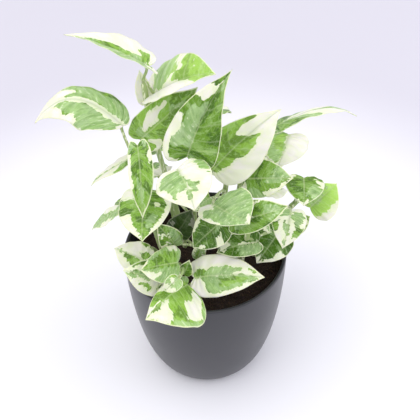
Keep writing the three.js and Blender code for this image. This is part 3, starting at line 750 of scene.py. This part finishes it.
def net_faces(row_count, column_count):
    """Faces of a net whose first and last rows are single points, seen from the upper side."""
    first, last = 0, 1 + (row_count - 2) * column_count

    def at(row, column):
        return 1 + (row - 1) * column_count + column

    faces = []
    for j in range(column_count - 1):
        faces.append((first, at(1, j + 1), at(1, j)))
        faces.append((at(row_count - 2, j), at(row_count - 2, j + 1), last))
    for i in range(1, row_count - 2):
        for j in range(column_count - 1):
            faces.append((at(i, j), at(i, j + 1), at(i + 1, j + 1), at(i + 1, j)))
    return faces, first, last, at


def blade(leaf):
    """One blade's points, faces and the fields that its material reads."""
    row_count = int(np.clip(leaf.length * SWEPT_LENGTH / ROW_SPACING, *ROW_LIMITS))
    rows = np.linspace(0, 1, row_count)
    half = (np.linspace(0, 1, COLUMNS + 1) ** COLUMN_CROWDING)[1:]
    across = np.concatenate([-half[::-1], [0], half])
    net, flat_across, flat_along = blade_net(leaf, rows, across)
    ahead = np.gradient(net, axis=0)
    sideways = np.gradient(net, axis=1)
    normal = np.cross(sideways, ahead)
    normal[0] = normal[1]
    normal[-1] = normal[-2]
    normal = unit(normal)
    half_width = leaf.width / 2
    reach = np.abs(across)[None, :]
    distance = np.abs(flat_across) * half_width
    rib = np.exp(-(distance / RIB_WIDTH) ** 2) * (1 - RIB_TAPER * flat_along)
    fade = np.sin(math.pi * np.clip(reach, 0, 1)) ** QUILT_FADE
    size = min(1, half_width / FULL_RELIEF_AT)
    quilt = QUILT_HEIGHT * size * np.cos(2 * math.pi * SIDE_VEINS * rows[:, None]) * fade
    phase = 2 * math.pi * RIPPLE_COUNT * rows[:, None] + RIPPLE_SHIFT * leaf.number
    ripple = np.sin(phase + across[None, :])
    ripple = RIPPLE_HEIGHT * size * ripple * reach ** 3 * np.sin(math.pi * rows)[:, None]
    thick = BLADE_THICKNESS / 2 * (1 - EDGE_THINNING * reach ** 4)
    upper = net + normal * (quilt + ripple + thick - GROOVE_DEPTH * rib)[..., None]
    lower = net + normal * (quilt + ripple - thick - RIB_HEIGHT * rib)[..., None]
    side = np.abs(flat_across[:, -1:]) * half_width
    row_of, across_of = np.meshgrid(rows, across, indexing="ij")
    coloured, full = marbling(leaf, across_of, row_of, side)
    fields = {
        "coloured": coloured,
        "full_green": full,
        "midrib": rib,
        "rim_gap": (1 - reach) * side,
        "shade": np.full(row_of.shape, float(leaf.shade)),
        "vein_place": np.stack([across_of, row_of,
                                np.full(row_of.shape, leaf.number * NOISE_SHIFT)], axis=-1),
    }
    middle = len(across) // 2

    def skin(grid):
        """Row by row, with the first and the last row as one point each."""
        inner = grid[1:-1].reshape(-1, *grid.shape[2:])
        return np.concatenate([grid[0, middle][None], inner, grid[-1, middle][None]])

    faces, first, last, at = net_faces(row_count, len(across))
    count = last + 1
    under = [tuple(i + count for i in reversed(face)) for face in faces]
    left = [at(i, 0) for i in range(1, row_count - 1)]
    right = [at(i, len(across) - 1) for i in range(1, row_count - 1)]
    loop = [first, *right, last, *reversed(left)]
    rim = [(a, a + count, b + count, b) for a, b in zip(loop, loop[1:] + loop[:1])]
    points = np.concatenate([skin(upper), skin(lower)]) * MM
    fields = {name: np.concatenate([skin(value)] * 2) for name, value in fields.items()}
    fields["underside"] = np.concatenate([np.zeros(count), np.ones(count)])
    return points, faces + under + rim, fields


print("points across a blade:", 2 * COLUMNS + 1)

# %% [markdown]
# ### Leaf material
# A pothos leaf is a thin living sheet under a wax skin. The wax gives a soft, even shine, so the
# roughness is about 0.35 with an index of refraction of 1.34. Light goes into the leaf and comes
# out again near by, yellower and greener, and a little subsurface scattering gives that glow.
# The marbling's borders get streaks that run with the veins, because the noise is stretched
# along the rows of the net. A thin pale line follows the whole edge, as on most variegated leaves.

# %% Leaf fields and patterns
leaf_material, tree, shader, place = new_material(
    "waxy_marbled_leaf", IOR=1.34, Subsurface_Weight=0.3, Subsurface_Radius=(0.9, 1.0, 0.35),
    Subsurface_Scale=0.8 * MM)
vein_place = add_node(tree, "ShaderNodeAttribute", attribute_name="vein_place").outputs["Vector"]
field = {name: add_node(tree, "ShaderNodeAttribute", attribute_name=name).outputs["Fac"]
         for name in ("coloured", "full_green", "midrib", "rim_gap", "shade", "underside")}
# The cells of each pattern across a blade, its cells along it and its detail.
PATTERNS = {"streaks": (1.8, 22, 2.0), "fine": (5.0, 80, 2.0), "patches": (1.3, 9, 3.0),
            "flecks": (3.6, 42, 3.0), "border": (2.6, 30, 3.0)}
pattern = {}
for name, (across_count, row_count, detail) in PATTERNS.items():
    stretched = add_node(tree, "ShaderNodeVectorMath", operation="MULTIPLY", _0=vein_place,
                         _1=(across_count, row_count, 1))
    noise = add_node(tree, "ShaderNodeTexNoise", Vector=stretched, Scale=1.0, Detail=detail)
    pattern[name] = add_node(tree, "ShaderNodeMath", operation="SUBTRACT", _0=noise, _1=0.5)
print("patterns along the veins:", *pattern)

# %% Leaf masks
BORDER_STREAK = 5.5
FINE_STREAK = 1.6
RIM_STREAK = 0.8
RIM_LINE = 0.75
VEIN_LINES = 11.0
VEIN_WANDER = 0.07
NET_CELLS = (7, 30, 1)


def weighted_sum(tree, base, *parts):
    """The base plus each part times its weight."""
    for part, weight in parts:
        base = add_node(tree, "ShaderNodeMath", operation="MULTIPLY_ADD", _0=part, _1=weight, _2=base)
    return base


rough_border = weighted_sum(tree, field["coloured"], (pattern["streaks"], BORDER_STREAK),
                            (pattern["fine"], FINE_STREAK))
rough_full = weighted_sum(tree, field["full_green"], (pattern["border"], BORDER_STREAK))
rough_rim = weighted_sum(tree, field["rim_gap"], (pattern["streaks"], RIM_STREAK))
place_on_leaf = add_node(tree, "ShaderNodeSeparateXYZ", Vector=vein_place).outputs
from_midrib = add_node(tree, "ShaderNodeMath", operation="ABSOLUTE", _0=place_on_leaf["X"])
vein_row = weighted_sum(tree, 0.0, (place_on_leaf["Y"], VEIN_LINES),
                        (pattern["patches"], VEIN_LINES * VEIN_WANDER))
to_vein = add_node(tree, "ShaderNodeMath", operation="PINGPONG", _0=vein_row, _1=0.5)
net_place = add_node(tree, "ShaderNodeVectorMath", operation="MULTIPLY", _0=vein_place, _1=NET_CELLS)
to_net = add_node(tree, "ShaderNodeTexVoronoi", feature="DISTANCE_TO_EDGE", Vector=net_place, Scale=1.0)
# A mask eases from 0 to its greatest value while its source goes from one value to another.
MASKS = {
    "coloured": (rough_border, -0.2, 0.2, 1),
    "full": (rough_full, -0.5, 0.5, 1),
    # Painted light in the shade scale: lighter for a leaf lit through, deeper for one in shade.
    "grown": (field["shade"], -1.0, 0.1, 1),
    "old": (field["shade"], 0.1, 1.0, 1),
    # Painted shade: from shade 1 to 2 a leaf in the dark of the bunch turns near black.
    "in_the_dark": (field["shade"], 1.0, 2.0, 0.7),
    "deepening": (field["shade"], -1.3, 0.2, 0.72),
    "deep_patch": (pattern["patches"], 0.01, 0.07, 1),
    "pale_patch": (pattern["patches"], -0.07, -0.13, 0.5),
    "pale_fleck": (pattern["flecks"], 0.09, 0.14, 0.5),
    "deep_fleck": (pattern["flecks"], -0.07, -0.12, 0.5),
    "mint_streak": (pattern["streaks"], -0.2, 0.25, 1),
    "cream_fleck": (pattern["flecks"], 0.1, 0.16, 0.5),
    "green_fleck": (pattern["flecks"], -0.06, -0.14, 0.28),
    "warm_patch": (pattern["patches"], -0.1, 0.15, 1),
    "near_colour": (field["coloured"], -3.2, 0.0, 1),
    "greenish": (field["coloured"], -3.2, 0.0, 0.6),
    "spot": (pattern["fine"], 0.11, 0.15, 0.7),
    "rim": (rough_rim, RIM_LINE, 0.3, 0.8),
    # Painted shade: darker green beside the midrib, where its groove lies in shade.
    "valley": (from_midrib, 0.2, 0.03, 0.18),
    "side_vein": (to_vein, 0.1, 0.0, 0.16),
    "net_vein": (to_net, 0.07, 0.0, 0.12),
}
mask = {}
for name, (source, low, high, most) in MASKS.items():
    mask[name] = add_node(tree, "ShaderNodeMapRange", interpolation_type="SMOOTHSTEP", Value=source,
                          From_Min=low, From_Max=high, To_Max=most)
print("masks:", len(mask))

# %% Leaf colours
# Painted light as well as age: the green is lighter for a leaf lit through, deeper for one in shade.
green_by_age_and_light = painted(tree, "#aed962", (mask["grown"], "#7eaa38"), (mask["old"], "#48730b"))
deeper = painted(tree, green_by_age_and_light, (mask["deepening"], "#315a03"))
paler = painted(tree, green_by_age_and_light, (0.55, "#b9d793"))
full_green = painted(tree, green_by_age_and_light, (mask["deep_patch"], deeper), (mask["pale_patch"], paler),
                     (mask["pale_fleck"], paler), (mask["deep_fleck"], deeper))
mint = painted(tree, "#b4d098", (mask["mint_streak"], "#8bb06c"), (0.28, full_green),
               (mask["cream_fleck"], "#dde8c3"), (mask["green_fleck"], full_green))
near_spot = add_node(tree, "ShaderNodeMath", operation="MULTIPLY", _0=mask["spot"],
                     _1=mask["near_colour"])
cream = painted(tree, "#ebe9e1", (mask["warm_patch"], "#e3e7d0"), (mask["greenish"], "#e4edc2"),
                (near_spot, "#bfd996"))
rib_tone = painted(tree, "#a9b87c", (mask["coloured"], "#dbe7b4"))
surface = painted(
    tree, cream,
    (mask["coloured"], painted(tree, mint, (mask["full"], full_green))),
    (mask["rim"], "#eef2cf"),
    # painted shade beside the midrib's groove
    (mask["valley"], "#4e7c22"),
    (mask["side_vein"], "#dfecc0"),
    (mask["net_vein"], "#dfecc0"),
    (weighted_sum(tree, 0.0, (field["midrib"], 0.5)), rib_tone),
    # painted shade, near black, on a leaf in the dark of the bunch
    (mask["in_the_dark"], "#0f1805"),
    (weighted_sum(tree, 0.0, (field["underside"], 0.35)), "#bfd2a0"))
print("the last coat on a leaf:", surface.name)

# %% Leaf surface
SKIN_CELL = 0.9

roughness = weighted_sum(tree, 0.36, (field["underside"], 0.16), (pattern["streaks"], 0.12))
cells = add_node(tree, "ShaderNodeTexNoise", Vector=place, Scale=1 / (SKIN_CELL * MM), Detail=1.0)
height = weighted_sum(tree, cells, (pattern["fine"], 1.2))
relief = add_node(tree, "ShaderNodeBump", Strength=0.35, Distance=0.12 * MM, Height=height)
connect(tree, shader, Base_Color=surface, Roughness=roughness, Normal=relief)
print("leaf material nodes:", len(tree.nodes))

# %% [markdown]
# ### Stems and petioles
# The stalks are round, fleshy and a little swollen where a petiole leaves the stem and where it
# meets its blade. A path with a changing radius is what a curve is for. A Geometry Nodes tree
# sweeps a circle along all the lines of one leafy stem, closes the ends, gives them
# their own material and joins them with the blades.

# %% Stalk lines
STEM_RADIUS = 2.2
PETIOLE_RADIUS = 1.1
PETIOLE_UNDER_BLADE = 2
PETIOLE_BELOW_BLADE = 0.9
PETIOLE_BEND = 0.35
PETIOLE_SPREAD = 0.6
PETIOLE_RISE = 0.9
STALK_STEPS = 28
BLUNT_END = 0.2
NEARBY = 0.002


def swelling(share, centre, width, amount):
    return amount * np.exp(-((share - centre) / width) ** 2)


def round_end(share, from_share):
    """Shrinks a radius to a dome towards the end."""
    over = np.clip((share - from_share) / (1 - from_share), 0, 1)
    return np.sqrt(np.clip(1 - over ** 2, BLUNT_END ** 2, 1))


def stem_line(cutting):
    share = np.linspace(0, 1, STALK_STEPS + 1)
    radius = 1 + sum(swelling(share, centre=each.at, width=0.025, amount=0.1)
                     for each in cutting.leaves)
    radius = radius * round_end(share, from_share=0.965)
    return smooth_through(cutting.path, share), STEM_RADIUS * radius


def petiole_line(leaf, cutting):
    """A Bezier curve that leaves the stem upward and ends under the midrib."""
    around = np.clip([leaf.at - NEARBY, leaf.at + NEARBY], 0, 1)
    low, high = smooth_through(cutting.path, around)
    start = smooth_through(cutting.path, [leaf.at])[0]
    point, ahead, up, _ = midrib_at(leaf, 0)
    end = point + ahead * PETIOLE_UNDER_BLADE - up * PETIOLE_BELOW_BLADE
    handle = np.linalg.norm(leaf.base - start) * PETIOLE_BEND
    leaving = unit(unit(high - low) + PETIOLE_SPREAD * unit(leaf.base - start)) * handle
    arriving = unit(ahead + up * PETIOLE_RISE) * handle
    corners = np.array([start, start + leaving, end - arriving, end])
    share = np.linspace(0, 1, STALK_STEPS + 1)
    t = share[:, None]
    weights = np.hstack([(1 - t) ** 3, 3 * t * (1 - t) ** 2, 3 * t ** 2 * (1 - t), t ** 3])
    radius = (1 + swelling(share, centre=0, width=0.1, amount=0.45)
              + swelling(share, centre=0.93, width=0.05, amount=0.18))
    return weights @ corners, PETIOLE_RADIUS * radius * round_end(share, from_share=0.97)


def stalk_curve(name, lines):
    curve = bpy.data.curves.new(name, "CURVE")
    curve.dimensions = "3D"
    for points, radii in lines:
        spline = curve.splines.new("POLY")
        spline.points.add(len(points) - 1)
        for spot, point, radius in zip(spline.points, points, radii):
            spot.co = (*(point * MM), 1)
            spot.radius = radius * MM
    return curve


print("stem radius in mm:", STEM_RADIUS)

# %% Stalk material
STRIPE_WIDTH = 1.6
SKIN_PATCH = 22

stalk_material, tree, shader, place = new_material(
    "fleshy_pothos_stalk", IOR=1.42, Roughness=0.42, Subsurface_Weight=0.25,
    Subsurface_Radius=(0.9, 1.0, 0.4), Subsurface_Scale=1.5 * MM)
stretched = add_node(tree, "ShaderNodeVectorMath", operation="MULTIPLY", _0=place, _1=(1, 1, 0.15))
stripes = add_node(tree, "ShaderNodeTexNoise", Vector=stretched, Scale=1 / (STRIPE_WIDTH * MM),
                   Detail=2.0)
skin_tone = add_node(tree, "ShaderNodeTexNoise", Vector=place, Scale=1 / (SKIN_PATCH * MM), Detail=1.0)
streaked = add_node(tree, "ShaderNodeMapRange", interpolation_type="SMOOTHSTEP", Value=stripes,
                    From_Min=0.52, From_Max=0.66)
connect(tree, shader, Base_Color=painted(tree, "#87a45e", (skin_tone, "#b3c18b"), (streaked, "#e4e7c8")))
print("stalk material nodes:", len(tree.nodes))

# %% Stalk tree
tree, given = new_tree("leafy_stem", {"Stalk lines": "Object", "Sides": "Int", "Material": "Material"})
lines = add_node(tree, "GeometryNodeObjectInfo", Object=given["Stalk lines"])
circle = add_node(tree, "GeometryNodeCurvePrimitiveCircle", Resolution=given["Sides"], Radius=1.0)
radius = add_node(tree, "GeometryNodeInputRadius")
swept = add_node(tree, "GeometryNodeCurveToMesh", Curve=lines.outputs["Geometry"], Profile_Curve=circle,
                 Scale=radius, Fill_Caps=True)
smooth = add_node(tree, "GeometryNodeSetShadeSmooth", Geometry=swept, Shade_Smooth=True)
finish_tree(tree, given, smooth)
print("stalk steps:", STALK_STEPS)

# %% [markdown]
# ### Growing the stems
# Now the parts come together. The points of all blades of a stem go into one mesh with their
# fields, the tree adds the stalks, and the piece takes the place of the plain solid. It
# rides on the root body with the pot, because the plant only rests in its soil.

# %% Grow every leafy stem
STALK_SIDES = 14


def blades_mesh(name, leaves):
    parts = [blade(leaf) for leaf in leaves]
    points = np.concatenate([part[0] for part in parts])
    faces = []
    first = 0
    for part in parts:
        faces += [tuple(i + first for i in face) for face in part[1]]
        first += len(part[0])
    mesh = bpy.data.meshes.new(name)
    mesh.from_pydata(points.tolist(), [], faces)
    mesh.polygons.foreach_set("use_smooth", [True] * len(faces))
    for field_name in parts[0][2]:
        values = np.concatenate([part[2][field_name] for part in parts])
        kind = "FLOAT_VECTOR" if values.ndim > 1 else "FLOAT"
        attribute = mesh.attributes.new(field_name, kind, "POINT")
        slot = "vector" if values.ndim > 1 else "value"
        attribute.data.foreach_set(slot, values.astype(np.float32).ravel())
    mesh.materials.append(leaf_material)
    return mesh


for name, cutting in stems.items():
    lines = [stem_line(cutting)] + [petiole_line(each, cutting) for each in cutting.leaves]
    stalks = new_object(name + "_lines", stalk_curve(name + "_lines", lines))
    piece = new_object("leafy_cutting_" + name, blades_mesh(name, cutting.leaves))
    apply_tree(piece, tree, {"Stalk lines": stalks, "Sides": STALK_SIDES, "Material": stalk_material})
    bpy.data.objects.remove(stalks)
    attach(piece, "root")
    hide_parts("leafy_stem_" + name)
    print(name, "triangles:", sum(len(p.vertices) - 2 for p in piece.data.polygons))

# %% [markdown]

# %% End
print("the pot and the plant are dressed")
